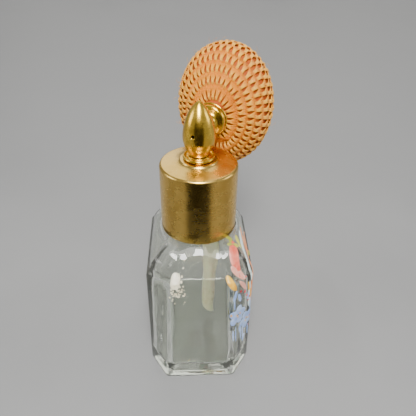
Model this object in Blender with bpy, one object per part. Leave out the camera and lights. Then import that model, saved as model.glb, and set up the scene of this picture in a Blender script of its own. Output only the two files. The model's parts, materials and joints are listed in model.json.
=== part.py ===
"""Squeeze-bulb perfume atomizer: glass bottle, screw collar, spray head and crocheted bulb.

The origin is the centre of the bottle's underside, +Z is up and -Y is the bottle's narrow front.
All lengths are in metres.
"""
import math

import bpy
from mathutils import Vector

MM = 0.001
GAP = 0.3 * MM                    # clearance left between touching pieces

# Glass bottle: half sizes of its eight-sided plan at the base and at the shoulder edge
BASE_HALF = (20.7 * MM, 32.9 * MM)
BASE_FACE = (13.9 * MM, 22.0 * MM)        # half lengths of the flat end face and flat side face
SHOULDER_HALF = (20.9 * MM, 26.4 * MM)
SHOULDER_FACE = (12.4 * MM, 19.3 * MM)
SHOULDER_Z = 47.2 * MM
SEAT_Z = 56.2 * MM                # top of the shoulder, where the collar comes down
SEAT_R = 15.0 * MM
FLOOR_Z = 3.4 * MM                # inside floor
WALL = 3.1 * MM
EDGE_ROUND = 1.4 * MM
SHOULDER_ROUND = 2.2 * MM
GLASS_SIDES = 40

# Neck and its thread
NECK_R = 10.0 * MM
NECK_BORE_R = 7.5 * MM
NECK_TOP_Z = 71.0 * MM
THREAD_PITCH = 3.2 * MM
THREAD_TURNS = 1.5
THREAD_START_Z = 61.5 * MM
THREAD_STEP = 0.5 * MM
NECK_THREAD_H = 1.1 * MM
LINER_THREAD_H = 1.0 * MM

# Collar
COLLAR_R = 15.0 * MM
COLLAR_WALL = 0.8 * MM
COLLAR_BOTTOM_Z = 56.6 * MM
COLLAR_TOP_Z = 84.5 * MM          # top of the rounded rim
CROWN_RISE = 1.0 * MM             # the collar's top slopes up this much from its rim to the boss
BOSS_R = 7.3 * MM
BOSS_Z = COLLAR_TOP_Z + 1.7 * MM  # flat boss that the spray head stands on
LINER_BORE_R = 11.7 * MM
LINER_TOP_Z = 76.0 * MM
GASKET_T = 1.6 * MM

# Spray head, on the bottle's axis
STEM_R = 2.6 * MM
STEM_BORE_R = 1.5 * MM
STEM_BOTTOM_Z = 70.0 * MM
STEM_TOP_Z = 92.4 * MM
STEM_HOLE_R = 2.9 * MM
HEAD_R = 6.05 * MM
HEAD_BOTTOM_Z = COLLAR_TOP_Z + 3.6 * MM
HEAD_TIP_Z = COLLAR_TOP_Z + 24.0 * MM
HEAD_BELLY_Z = COLLAR_TOP_Z + 10.3 * MM
HEAD_FOOT_R = 3.8 * MM
AIR_Z = COLLAR_TOP_Z + 12.6 * MM  # height of the air path, the nozzle and the bulb's axis
HEAD_TURN = math.radians(24.0)    # the bulb points this far from +Y towards +X
DIP_R = 2.7 * MM
DIP_BORE_R = 1.9 * MM
DIP_END_Z = FLOOR_Z + 3.2 * MM
DIP_LEAN = 4.6 * MM               # how far the tube bends over towards +X
DIP_BEND_Z = (46.0 * MM, 62.0 * MM)   # the bend's lower and upper end

# Bulb: distances run back from the head's axis, half sizes are across the bulb's axis
BULB_MOUTH_S = 12.0 * MM
BULB_POLE_S = 12.8 * MM
BULB_WIDEST_S = 27.4 * MM
BULB_TAIL_S = 48.6 * MM
BULB_HALF_WIDTH = 19.9 * MM
BULB_HALF_HEIGHT = 25.3 * MM
COVER_T = 1.6 * MM
RUBBER_T = 1.5 * MM
CUP_R = 6.6 * MM
TAIL_R = 5.4 * MM
VALVE_FLANGE_T = 2.4 * MM
RIM_CLEAR = 0.9 * MM              # how far the dented bulb stays from the collar's rim


# ---------------------------------------------------------------- materials and mesh helpers

def material(name, color, roughness, metallic=0.0, transmission=0.0):
    """Principled material with the part's base colour."""
    mat = bpy.data.materials.new(name)
    mat.use_nodes = True
    bsdf = mat.node_tree.nodes["Principled BSDF"]
    bsdf.inputs["Base Color"].default_value = (*color, 1.0)
    bsdf.inputs["Roughness"].default_value = roughness
    bsdf.inputs["Metallic"].default_value = metallic
    bsdf.inputs["Transmission Weight"].default_value = transmission
    return mat


def glass():
    return material("clear_glass", (0.93, 0.96, 0.90), 0.03, transmission=1.0)


def satin_gold():
    return material("satin_gold", (0.72, 0.54, 0.27), 0.34, metallic=1.0)


def polished_gold():
    return material("polished_gold", (0.83, 0.58, 0.20), 0.15, metallic=1.0)


def brass():
    return material("brass", (0.70, 0.52, 0.26), 0.30, metallic=1.0)


def liner_plastic():
    return material("liner_plastic", (0.12, 0.07, 0.05), 0.45)


def tube_plastic():
    return material("tube_plastic", (0.88, 0.82, 0.60), 0.35)


def black_rubber():
    return material("black_rubber", (0.05, 0.05, 0.05), 0.70)


def crochet():
    return material("crochet_silk", (0.84, 0.42, 0.24), 0.75)


def fibre():
    return material("fibre", (0.45, 0.20, 0.12), 0.80)


def add_object(name, mat, verts, faces, parent=None):
    """Mesh object, shaded smooth with its sharp edges kept."""
    mesh = bpy.data.meshes.new(name)
    mesh.from_pydata([tuple(v) for v in verts], [], faces)
    mesh.shade_smooth()
    mesh.set_sharp_from_angle(angle=math.radians(35.0))
    mesh.materials.append(mat)
    obj = bpy.data.objects.new(name, mesh)
    bpy.context.collection.objects.link(obj)
    obj.parent = parent
    return obj


def ring_faces(rings, sides, loop):
    """Quads between successive rings of equal length; a loop also joins the last to the first."""
    faces = []
    spans = rings if loop else rings - 1
    for i in range(spans):
        low = i * sides
        high = ((i + 1) % rings) * sides
        for j in range(sides):
            k = (j + 1) % sides
            faces.append((low + j, low + k, high + k, high + j))
    return faces


def stack(name, mat, rings, parent=None, loop=False):
    """Closed body from a stack of rings, each counter-clockwise about the way the stack climbs.

    A looped stack comes back to its first ring, such as a tube; otherwise both ends are capped.
    """
    sides = len(rings[0])
    verts = [point for ring in rings for point in ring]
    faces = ring_faces(len(rings), sides, loop)
    if not loop:
        last = (len(rings) - 1) * sides
        faces.append(tuple(range(sides - 1, -1, -1)))
        faces.append(tuple(range(last, last + sides)))
    return add_object(name, mat, verts, faces, parent)


def circle(radius, along, sides, axis="Z"):
    """Ring of points about the Z axis, or about the bulb's axis at the height of the air path."""
    points = []
    for j in range(sides):
        angle = 2.0 * math.pi * j / sides
        across = radius * math.cos(angle)
        up = radius * math.sin(angle)
        if axis == "Z":
            points.append(Vector((across, up, along)))
        else:
            points.append(Vector((-across, along, AIR_Z + up)))
    return points


def turned(name, mat, outer, bore=None, sides=28, axis="Z", parent=None):
    """Turned piece. Both profiles are (radius, along) pairs, listed in the axis's direction.

    A piece with a bore is a tube; one without is solid, and capped at both ends.
    """
    rings = [circle(r, a, sides, axis) for r, a in outer]
    if bore:
        rings += [circle(r, a, sides, axis) for r, a in reversed(bore)]
    return stack(name, mat, rings, parent, loop=bool(bore))


def cylinder(name, radius, low, high, mat, parent=None, axis="Z", sides=24):
    return turned(name, mat, [(radius, low), (radius, high)], None, sides, axis, parent)


def cut(obj, cutter):
    """Subtracts a cutter, which stays in the scene as a hidden wire guide."""
    cutter.hide_render = True
    cutter.display_type = "WIRE"
    modifier = obj.modifiers.new("cut_" + cutter.name, "BOOLEAN")
    modifier.operation = "DIFFERENCE"
    modifier.solver = "EXACT"
    modifier.object = cutter


def arc(centre_r, centre_a, radius, start, end, steps):
    """(radius, along) points on an arc; angles in degrees from the outward direction."""
    points = []
    for i in range(steps + 1):
        angle = math.radians(start + (end - start) * i / steps)
        points.append((centre_r + radius * math.cos(angle), centre_a + radius * math.sin(angle)))
    return points


# ---------------------------------------------------------------- glass bottle

def plan_point(angle, half, face):
    """Point where a ray at this angle meets the eight-sided plan."""
    x = math.cos(angle)
    y = math.sin(angle)
    corner = (half[0] - face[0], half[1] - face[1])
    limits = [abs(x) / half[0], abs(y) / half[1]]
    slope = abs(x) * corner[1] + abs(y) * corner[0]
    limits.append(slope / (half[0] * corner[1] + face[1] * corner[0]))
    reach = 1.0 / max(limits)
    return reach * x, reach * y


def plan_angles(half, face):
    """Angles that put a vertex on every corner and share the rest along the sides."""
    corners = [
        math.atan2(-face[1], half[0]), math.atan2(face[1], half[0]),
        math.atan2(half[1], face[0]), math.atan2(half[1], -face[0]),
        math.pi - math.atan2(face[1], half[0]), math.pi + math.atan2(face[1], half[0]),
        math.pi + math.atan2(half[1], face[0]), 2.0 * math.pi - math.atan2(half[1], face[0]),
    ]
    angles = []
    per_side = GLASS_SIDES // 8
    for i, start in enumerate(corners):
        end = corners[(i + 1) % 8]
        if end < start:
            end += 2.0 * math.pi
        for j in range(per_side):
            angles.append(start + (end - start) * j / per_side)
    return angles


def plan_ring(z, half, face, inset=0.0):
    """Eight-sided ring, its sides moved in by the inset."""
    small_half = (half[0] - inset, half[1] - inset)
    small_face = (face[0] - 0.6 * inset, face[1] - 0.45 * inset)
    ring = []
    for angle in plan_angles(small_half, small_face):
        x, y = plan_point(angle, small_half, small_face)
        ring.append(Vector((x, y, z)))
    return ring


def at_height(z):
    """Half sizes and face half lengths of the bottle's straight flanks at a height."""
    t = z / SHOULDER_Z
    half = tuple(b + (s - b) * t for b, s in zip(BASE_HALF, SHOULDER_HALF))
    face = tuple(b + (s - b) * t for b, s in zip(BASE_FACE, SHOULDER_FACE))
    return half, face


def flank_ring(z, inset):
    half, face = at_height(z)
    return plan_ring(z, half, face, inset)


def to_circle(ring, radius, z, amount):
    """Moves an eight-sided ring part of the way to a circle at another height."""
    out = []
    for point in ring:
        flat = Vector((point.x, point.y, 0.0))
        target = flat.normalized() * radius
        mixed = flat.lerp(target, amount)
        out.append(Vector((mixed.x, mixed.y, z)))
    return out


def ridge(angle, z, start_z, turns, half_width):
    """Height from 0 to 1 of a helical ridge that climbs one pitch in each turn."""
    best = 0.0
    for turn in range(-1, int(turns) + 2):
        total = angle / (2.0 * math.pi) + turn
        if total < 0.0 or total > turns:
            continue
        off = abs(z - start_z - THREAD_PITCH * total) / half_width
        fade = min(1.0, 8.0 * total, 8.0 * (turns - total))
        best = max(best, fade * min(1.0, max(0.0, 2.0 * (1.0 - off))))
    return best


def threaded_ring(z, radius, height, start_z, half_width, angles):
    """Ring at height z whose radius follows a helical thread."""
    ring = []
    for angle in angles:
        r = radius + height * ridge(angle % (2.0 * math.pi), z, start_z, THREAD_TURNS, half_width)
        ring.append(Vector((r * math.cos(angle), r * math.sin(angle), z)))
    return ring


def glass_bottle():
    base_angles = plan_angles(BASE_HALF, BASE_FACE)
    rings = [
        plan_ring(0.0, *at_height(0.0), inset=EDGE_ROUND),
        plan_ring(0.3 * EDGE_ROUND, *at_height(0.0), inset=0.3 * EDGE_ROUND),
        flank_ring(EDGE_ROUND, 0.0),
        flank_ring(SHOULDER_Z - SHOULDER_ROUND, 0.0),
        flank_ring(SHOULDER_Z - 0.4 * SHOULDER_ROUND, 0.12 * SHOULDER_ROUND),
        flank_ring(SHOULDER_Z, 0.4 * SHOULDER_ROUND),
    ]
    edge = plan_ring(SHOULDER_Z, SHOULDER_HALF, SHOULDER_FACE)
    for step in range(1, 6):
        amount = step / 5.0
        rise = SHOULDER_Z + (SEAT_Z - SHOULDER_Z) * math.sin(0.5 * math.pi * (0.2 + 0.8 * amount))
        rings.append(to_circle(edge, SEAT_R, rise, amount ** 0.9))
    neck_low = SEAT_Z + 0.5 * MM
    rings.append([p.normalized() * NECK_R for p in (Vector((q.x, q.y, 0.0)) for q in rings[-1])])
    rings[-1] = [Vector((p.x, p.y, neck_low)) for p in rings[-1]]
    angles = [math.atan2(p.y, p.x) for p in rings[-1]]
    z = THREAD_START_Z - 1.6 * MM
    while z < THREAD_START_Z + THREAD_TURNS * THREAD_PITCH + 1.7 * MM:
        rings.append(threaded_ring(z, NECK_R, NECK_THREAD_H, THREAD_START_Z, 1.0 * MM, angles))
        z += THREAD_STEP
    rim = 0.7 * MM
    for radius, height in ((NECK_R, NECK_TOP_Z - rim), (NECK_R - rim, NECK_TOP_Z),
                           (NECK_BORE_R + rim, NECK_TOP_Z), (NECK_BORE_R, NECK_TOP_Z - rim),
                           (NECK_BORE_R, SEAT_Z + 1.0 * MM)):
        rings.append([Vector((radius * math.cos(a), radius * math.sin(a), height)) for a in angles])
    inner = flank_ring(SHOULDER_Z - 1.0 * MM, WALL)
    for step in range(3, -1, -1):
        amount = step / 4.0
        rise = inner[0].z + (SEAT_Z - 2.6 * MM - inner[0].z) * math.sin(0.5 * math.pi * amount)
        rings.append(to_circle(inner, NECK_BORE_R + 1.0 * MM, rise, amount))
    rings.append(flank_ring(FLOOR_Z + 3.0 * MM, WALL))
    rings.append(flank_ring(FLOOR_Z + 0.9 * MM, WALL + 0.9 * MM))
    rings.append(flank_ring(FLOOR_Z, WALL + 3.0 * MM))
    return stack("glass_bottle", glass(), rings)


# ---------------------------------------------------------------- collar

def collar_shell():
    """Tall sleeve with a closed, round-edged top that the stem passes through."""
    edge = 1.3 * MM
    outer = [(COLLAR_R - 0.3 * MM, COLLAR_BOTTOM_Z), (COLLAR_R, COLLAR_BOTTOM_Z + 0.4 * MM)]
    outer += [(COLLAR_R, COLLAR_BOTTOM_Z + 14.0 * MM)]
    outer += arc(COLLAR_R - edge, COLLAR_TOP_Z - edge, edge, 0.0, 90.0, 4)
    crown = [(BOSS_R, COLLAR_TOP_Z + CROWN_RISE), (BOSS_R - 0.5 * MM, BOSS_Z), (STEM_HOLE_R, BOSS_Z)]
    outer += crown
    inner_r = COLLAR_R - COLLAR_WALL
    bore = [(inner_r, COLLAR_BOTTOM_Z), (inner_r, COLLAR_TOP_Z - edge),
            (inner_r - 0.6 * edge, COLLAR_TOP_Z - COLLAR_WALL)]
    bore += [(max(STEM_HOLE_R, r - 0.4 * MM), z - COLLAR_WALL) for r, z in crown]
    return turned("collar_shell", satin_gold(), outer, bore, sides=48)


def collar_liner():
    """Threaded liner with a top web that presses the gasket on the neck."""
    sides = 40
    outer_r = COLLAR_R - COLLAR_WALL - GAP
    bottom_z = COLLAR_BOTTOM_Z + 1.2 * MM
    web_z = NECK_TOP_Z + GAP + GASKET_T + GAP
    angles = [2.0 * math.pi * j / sides for j in range(sides)]
    rings = [circle(outer_r, bottom_z, sides), circle(outer_r, LINER_TOP_Z, sides),
             circle(STEM_HOLE_R, LINER_TOP_Z, sides), circle(STEM_HOLE_R, web_z, sides),
             circle(LINER_BORE_R, web_z, sides)]
    start_z = THREAD_START_Z + 0.5 * THREAD_PITCH
    heights = []
    z = start_z - 1.2 * MM
    while z < start_z + THREAD_TURNS * THREAD_PITCH + 1.3 * MM:
        heights.append(z)
        z += THREAD_STEP
    for z in reversed(heights):
        rings.append(threaded_ring(z, LINER_BORE_R, -LINER_THREAD_H, start_z, 0.55 * MM, angles))
    rings.append(circle(LINER_BORE_R, bottom_z, sides))
    return stack("collar_liner", liner_plastic(), rings, loop=True)


def neck_gasket():
    low = NECK_TOP_Z + GAP
    high = low + GASKET_T
    outer_r = NECK_R + 0.4 * MM
    outer = [(outer_r, low), (outer_r, high)]
    bore = [(STEM_HOLE_R, low), (STEM_HOLE_R, high)]
    return turned("neck_gasket", black_rubber(), outer, bore)


# ---------------------------------------------------------------- spray head

def head_base_ring(parent):
    """Two stepped beads between the collar and the acorn."""
    low = BOSS_Z + GAP
    outer = [(5.3 * MM, low)]
    outer += arc(5.5 * MM, low + 0.6 * MM, 0.6 * MM, -80.0, 80.0, 7)
    outer += arc(4.3 * MM, low + 0.95 * MM, 0.35 * MM, -20.0, 90.0, 4)
    bore = [(STEM_HOLE_R, low), (STEM_HOLE_R, outer[-1][1])]
    return turned("head_base_ring", polished_gold(), outer, bore, parent=parent)


def acorn_profile():
    """Acorn: narrow foot, full belly below the nozzle and a drawn-in, rounded tip."""
    profile = []
    for i in range(8):
        t = i / 7.0
        swell = math.sin(0.5 * math.pi * t) ** 1.12
        z = HEAD_BOTTOM_Z + t * (HEAD_BELLY_Z - HEAD_BOTTOM_Z)
        profile.append((HEAD_FOOT_R + (HEAD_R - HEAD_FOOT_R) * swell, z))
    for i in range(1, 12):
        angle = 0.5 * math.pi * i / 12.0
        z = HEAD_BELLY_Z + (HEAD_TIP_Z - HEAD_BELLY_Z) * math.sin(angle)
        profile.append((HEAD_R * math.cos(angle) ** 1.48, z))
    profile.append((0.1 * MM, HEAD_TIP_Z))
    return profile


def atomizer_head(parent):
    head = turned("atomizer_head", polished_gold(), acorn_profile(), None, 28, "Z", parent)
    mat = brass()
    cutters = [
        cylinder("stem_socket", STEM_HOLE_R, HEAD_BOTTOM_Z - 2.0 * MM, STEM_TOP_Z + GAP, mat, parent),
        cylinder("jet_bore", 1.2 * MM, STEM_TOP_Z - 1.0 * MM, AIR_Z, mat, parent),
        cylinder("air_bore", 2.2 * MM, -4.2 * MM, HEAD_R + 2.0 * MM, mat, parent, "Y"),
        cylinder("spray_hole", 0.65 * MM, -HEAD_R - 2.0 * MM, -4.0 * MM, mat, parent, "Y"),
    ]
    for cutter in cutters:
        cut(head, cutter)
    return head


def head_stem(parent):
    outer = [(STEM_R, STEM_BOTTOM_Z), (STEM_R, STEM_TOP_Z)]
    bore = [(STEM_BORE_R, STEM_BOTTOM_Z), (STEM_BORE_R, STEM_TOP_Z)]
    return turned("head_stem", brass(), outer, bore, 24, parent=parent)


def stem_washer(parent):
    high = BOSS_Z - COLLAR_WALL - GAP
    low = high - 0.6 * MM
    return turned("stem_washer", fibre(), [(6.0 * MM, low), (6.0 * MM, high)],
                  [(STEM_HOLE_R, low), (STEM_HOLE_R, high)], 24, parent=parent)


def stem_nut(parent):
    """Ring nut with chamfered edges, clamped under the collar's top."""
    high = BOSS_Z - COLLAR_WALL - 2.0 * GAP - 0.6 * MM
    low = high - 3.0 * MM
    outer = [(5.2 * MM, low), (5.7 * MM, low + 0.5 * MM), (5.7 * MM, high - 0.5 * MM), (5.2 * MM, high)]
    return turned("stem_nut", brass(), outer, [(STEM_HOLE_R, low), (STEM_HOLE_R, high)], 24,
                  parent=parent)


def siphon_nipple(parent):
    """Hollow nipple in the stem's lower end, with one barb that holds the dip tube."""
    low = STEM_BOTTOM_Z - 6.0 * MM
    high = STEM_BOTTOM_Z + 4.0 * MM
    plug_r = STEM_BORE_R - GAP
    barb_r = DIP_BORE_R - GAP
    outer = [(0.8 * barb_r, low), (barb_r, low + 1.2 * MM), (0.85 * barb_r, low + 1.4 * MM),
             (0.85 * barb_r, STEM_BOTTOM_Z - 1.3 * MM), (STEM_R, STEM_BOTTOM_Z - 1.3 * MM),
             (STEM_R, STEM_BOTTOM_Z - GAP), (plug_r, STEM_BOTTOM_Z - GAP), (plug_r, high)]
    bore = [(0.6 * MM, low), (0.6 * MM, high)]
    return turned("siphon_nipple", brass(), outer, bore, 20, parent=parent)


def dip_tube(parent):
    """Soft tube that bends over inside the neck, with a slanting lower end."""
    sides = 16
    top_z = STEM_BOTTOM_Z - 1.3 * MM - GAP
    bend_low, bend_high = DIP_BEND_Z
    towards_x = Vector((math.cos(HEAD_TURN), math.sin(HEAD_TURN), 0.0))
    heights = [DIP_END_Z, bend_low] + [bend_low + (bend_high - bend_low) * i / 6.0 for i in range(1, 7)]
    heights.append(top_z)
    outer = []
    inner = []
    for z in heights:
        t = min(1.0, max(0.0, (bend_high - z) / (bend_high - bend_low)))
        lean = towards_x * (DIP_LEAN * t * t * (3.0 - 2.0 * t))
        slant = 0.5 if z == DIP_END_Z else 0.0
        for rings, radius in ((outer, DIP_R), (inner, DIP_BORE_R)):
            rings.append([p + lean + Vector((0.0, 0.0, slant * (DIP_R - p.dot(towards_x))))
                          for p in circle(radius, z, sides)])
    return stack("dip_tube", tube_plastic(), outer + inner[::-1], parent, loop=True)


def liquid_jet(parent):
    low = STEM_TOP_Z - 3.0 * MM
    high = AIR_Z - 0.7 * MM
    outer = [(STEM_BORE_R - GAP, low), (STEM_BORE_R - GAP, STEM_TOP_Z - GAP),
             (0.85 * MM, STEM_TOP_Z), (0.55 * MM, high)]
    return turned("liquid_jet", brass(), outer, [(0.35 * MM, low), (0.35 * MM, high)], 16, parent=parent)


def spray_nozzle(parent):
    """Insert whose cone narrows to the spray jet, just behind the head's hole."""
    front = -4.2 * MM + GAP
    back = front + 2.2 * MM
    outer = [(1.9 * MM, front), (1.9 * MM, back)]
    bore = [(0.3 * MM, front), (0.3 * MM, front + 0.6 * MM), (1.4 * MM, back)]
    return turned("spray_nozzle", brass(), outer, bore, 20, "Y", parent)


# ---------------------------------------------------------------- bulb's cup, pipe and outlet valve

def air_pipe(parent):
    outer = [(1.9 * MM, 0.9 * MM), (1.9 * MM, 9.0 * MM)]
    bore = [(1.2 * MM, 0.9 * MM), (1.2 * MM, 9.0 * MM)]
    return turned("air_pipe", brass(), outer, bore, 20, "Y", parent)


def bulb_ferrule(parent):
    """Cup with its back against the head and its mouth round the bulb's neck."""
    back = HEAD_R + GAP
    lip = BULB_MOUTH_S - 0.9 * MM
    outer = [(2.9 * MM, back), (3.2 * MM, back + 1.3 * MM), (4.6 * MM, back + 2.3 * MM),
             (5.7 * MM, lip - 1.2 * MM), (CUP_R - 0.5 * MM, lip)]
    bore = [(2.2 * MM, back), (2.2 * MM, back + 2.6 * MM), (4.1 * MM, back + 3.1 * MM),
            (5.1 * MM, lip - 1.0 * MM), (CUP_R - 1.1 * MM, lip)]
    return turned("bulb_ferrule", polished_gold(), outer, bore, 28, "Y", parent)


def ferrule_bead(parent):
    """Rolled bead on the cup's lip."""
    radius = 0.55 * MM
    centre_r = CUP_R - radius
    centre_s = BULB_MOUTH_S - 0.9 * MM + GAP + radius
    rings = []
    steps = 6
    for i in range(steps):
        angle = -2.0 * math.pi * i / steps - 0.5 * math.pi
        r = centre_r - radius * math.cos(angle)
        rings.append(circle(r, centre_s + radius * math.sin(angle), 28, "Y"))
    return stack("ferrule_bead", polished_gold(), rings, parent, loop=True)


def bulb_nipple(parent):
    """Nipple in the rubber's mouth; its wide end is the outlet valve's chamber."""
    low = 9.0 * MM + GAP
    high = 20.0 * MM
    outer = [(2.4 * MM, low), (2.4 * MM, low + 1.4 * MM), (2.9 * MM, low + 2.4 * MM),
             (2.4 * MM, low + 2.8 * MM), (2.9 * MM, low + 4.8 * MM), (2.5 * MM, low + 5.2 * MM),
             (2.5 * MM, high)]
    bore = [(0.8 * MM, low), (0.8 * MM, low + 4.6 * MM), (1.7 * MM, low + 5.4 * MM), (1.7 * MM, high)]
    return turned("bulb_nipple", brass(), outer, bore, 24, "Y", parent)


def outlet_ball_seat(parent):
    low = 18.2 * MM
    high = 19.7 * MM
    outer = [(1.4 * MM, low), (1.4 * MM, high)]
    bore = [(0.7 * MM, low), (0.5 * MM, high)]
    return turned("outlet_ball_seat", brass(), outer, bore, 16, "Y", parent)


def outlet_check_ball(parent):
    radius = 1.2 * MM
    centre = 18.2 * MM - GAP - radius
    rings = []
    for i in range(1, 8):
        angle = -0.5 * math.pi + math.pi * i / 8.0
        rings.append((radius * math.cos(angle), centre + radius * math.sin(angle)))
    return turned("outlet_check_ball", brass(), rings, None, 14, "Y", parent)


# ---------------------------------------------------------------- bulb

def bulb_share(s, inset):
    """Share, from 0 to 1, of the full section that one skin of the bulb has at a distance s."""
    if s < BULB_WIDEST_S:
        u = (BULB_WIDEST_S - s) / (BULB_WIDEST_S - BULB_POLE_S - inset)
    else:
        u = (s - BULB_WIDEST_S) / (BULB_TAIL_S - inset - BULB_WIDEST_S)
    return math.sqrt(max(0.0, 1.0 - u ** 2.05))


def clear_of_collar(point, margin):
    """Pushes a point of the bulb back where the collar's rim dents it."""
    rim = COLLAR_TOP_Z + margin
    keep = COLLAR_R + margin - 1.1 * max(0.0, point.z - rim)
    away = math.hypot(point.x, point.y)
    if point.z < COLLAR_TOP_Z + 8.0 * MM and away < keep:
        needed = math.sqrt(max(0.0, keep * keep - point.x * point.x))
        return Vector((point.x, max(point.y, needed), point.z))
    return point


def bulb_ring(s, inset, sides, mouth_r, tail_r):
    """Oval ring of the bulb, never narrower than the round mouth or tail it runs into."""
    share = bulb_share(s, inset)
    least = mouth_r if s < BULB_WIDEST_S else tail_r
    half_width = max(least, (BULB_HALF_WIDTH - inset) * share)
    half_height = max(least, (BULB_HALF_HEIGHT - inset) * share)
    ring = []
    for j in range(sides):
        angle = 2.0 * math.pi * j / sides
        x = -half_width * math.cos(angle)
        z = AIR_Z + half_height * math.sin(angle)
        ring.append(clear_of_collar(Vector((x, s, z)), RIM_CLEAR + inset))
    return ring


def bulb_layer(inset, mouth_s, mouth_r, tail_r):
    """Rings of one skin of the bulb, from its round mouth to its round tail."""
    sides = 24
    spans = 12
    first = BULB_POLE_S + inset
    length = BULB_TAIL_S - inset - first
    rings = [circle(mouth_r, mouth_s, sides, "Y")]
    for i in range(spans + 1):
        s = first + length * 0.5 * (1.0 - math.cos(math.pi * i / spans))
        rings.append(bulb_ring(s, inset, sides, mouth_r, tail_r))
    return rings


def bulb_shell(name, mat, inset, thickness, mouth_s, mouth_r, tail_r, parent):
    """Hollow bulb, open at its mouth and at its tail."""
    lip = 0.6 * MM
    rings = bulb_layer(inset, mouth_s, mouth_r + lip, tail_r + lip)
    rings += reversed(bulb_layer(inset + thickness, mouth_s, mouth_r, tail_r))
    return stack(name, mat, rings, parent, loop=True)


def rubber_bladder(parent):
    """Rubber bulb; its mouth reaches into the cup over the nipple."""
    mouth_s = BULB_MOUTH_S - 2.2 * MM
    return bulb_shell("rubber_bladder", black_rubber(), COVER_T + GAP, RUBBER_T,
                      mouth_s, 3.2 * MM, 3.1 * MM, parent)


def bulb_cover(parent):
    mouth_s = BULB_MOUTH_S - 0.2 * MM
    return bulb_shell("bulb_cover", crochet(), 0.0, COVER_T, mouth_s, 4.6 * MM, 4.7 * MM, parent)


def mouth_binding(parent):
    """Thread wound round the rubber's mouth, inside the cup."""
    turns = 2
    radius = 0.35 * MM
    low = BULB_MOUTH_S - 1.9 * MM
    outer = []
    for i in range(turns):
        centre = low + radius + 2.0 * radius * i
        outer += arc(4.3 * MM, centre, radius, -60.0, 60.0, 3)
    bore = [(4.1 * MM, low), (4.1 * MM, low + 2.0 * radius * turns)]
    return turned("mouth_binding", crochet(), outer, bore, 24, "Y", parent)


# ---------------------------------------------------------------- inlet valve in the bulb's tail

def inlet_valve_body(parent):
    """Flanged plug; its open outer end is the chamber of the valve disc."""
    flange = BULB_TAIL_S + GAP
    stem_r = 2.8 * MM
    low = flange - 7.0 * MM
    high = flange + VALVE_FLANGE_T
    outer = [(0.85 * stem_r, low), (stem_r, low + 0.6 * MM), (stem_r, flange), (TAIL_R, flange),
             (TAIL_R, high - 0.3 * MM), (TAIL_R - 0.3 * MM, high)]
    floor = flange + 0.5 * MM
    bore = [(1.1 * MM, low), (1.1 * MM, floor), (2.9 * MM, floor), (2.9 * MM, high)]
    return turned("inlet_valve_body", polished_gold(), outer, bore, 24, "Y", parent)


def inlet_valve_disc(parent):
    low = BULB_TAIL_S + 2.0 * GAP + 0.5 * MM
    high = low + 0.6 * MM
    return cylinder("inlet_valve_disc", 2.3 * MM, low, high, black_rubber(), parent, "Y")


def inlet_valve_cap(parent):
    """Domed cap with an air hole in its middle."""
    low = BULB_TAIL_S + VALVE_FLANGE_T + 2.0 * GAP
    outer = [(TAIL_R, low), (TAIL_R, low + 0.4 * MM), (3.9 * MM, low + 1.1 * MM),
             (2.6 * MM, low + 1.6 * MM), (0.8 * MM, low + 1.8 * MM)]
    bore = [(0.8 * MM, low), (0.8 * MM, low + 1.7 * MM)]
    return turned("inlet_valve_cap", polished_gold(), outer, bore, 24, "Y", parent)


# ---------------------------------------------------------------- assembly

def joint_empty(name, location=(0.0, 0.0, 0.0), parent=None):
    empty = bpy.data.objects.new(name, None)
    bpy.context.collection.objects.link(empty)
    empty.location = location
    empty.parent = parent
    return empty


def build():
    for old in list(bpy.data.objects):
        bpy.data.objects.remove(old)
    glass_bottle()
    collar_shell()
    collar_liner()
    neck_gasket()
    head_axis = joint_empty("head_axis")
    head_axis.rotation_euler = (0.0, 0.0, -HEAD_TURN)
    for make in (head_base_ring, atomizer_head, head_stem, stem_washer, stem_nut, siphon_nipple,
                 dip_tube, liquid_jet, spray_nozzle, air_pipe, bulb_ferrule, ferrule_bead,
                 bulb_nipple, outlet_ball_seat, outlet_check_ball, rubber_bladder, bulb_cover,
                 mouth_binding, inlet_valve_body, inlet_valve_disc, inlet_valve_cap):
        make(head_axis)


build()
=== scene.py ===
import json
import math
import random

import bpy
import numpy as np
from mathutils import Matrix, Vector
from mathutils.bvhtree import BVHTree


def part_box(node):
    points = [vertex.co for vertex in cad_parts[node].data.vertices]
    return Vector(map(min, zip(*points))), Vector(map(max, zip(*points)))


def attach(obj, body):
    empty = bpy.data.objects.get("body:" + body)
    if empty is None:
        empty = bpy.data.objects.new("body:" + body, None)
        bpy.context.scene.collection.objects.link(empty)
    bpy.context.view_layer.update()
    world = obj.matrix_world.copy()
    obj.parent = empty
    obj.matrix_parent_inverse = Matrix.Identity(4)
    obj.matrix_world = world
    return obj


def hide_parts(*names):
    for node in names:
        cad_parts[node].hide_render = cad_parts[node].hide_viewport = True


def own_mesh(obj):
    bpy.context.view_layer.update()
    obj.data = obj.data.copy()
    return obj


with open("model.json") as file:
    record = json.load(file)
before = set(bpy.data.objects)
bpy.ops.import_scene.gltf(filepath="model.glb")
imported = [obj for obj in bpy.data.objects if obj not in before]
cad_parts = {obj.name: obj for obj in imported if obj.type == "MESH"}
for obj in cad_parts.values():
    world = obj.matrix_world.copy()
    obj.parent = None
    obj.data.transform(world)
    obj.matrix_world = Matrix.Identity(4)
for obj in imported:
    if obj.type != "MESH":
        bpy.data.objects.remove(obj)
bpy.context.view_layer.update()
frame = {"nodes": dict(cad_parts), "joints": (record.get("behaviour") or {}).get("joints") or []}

MM = 0.001


# -------- places read from the frame

def node_points(node):
    mesh = frame["nodes"][node].data
    flat = np.empty(len(mesh.vertices) * 3)
    mesh.vertices.foreach_get("co", flat)
    return flat.reshape(-1, 3)


def joint_axis(name):
    joint = next(j for j in frame["joints"] if j["name"] == name)
    return Vector(joint["axis"]).normalized()


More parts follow.
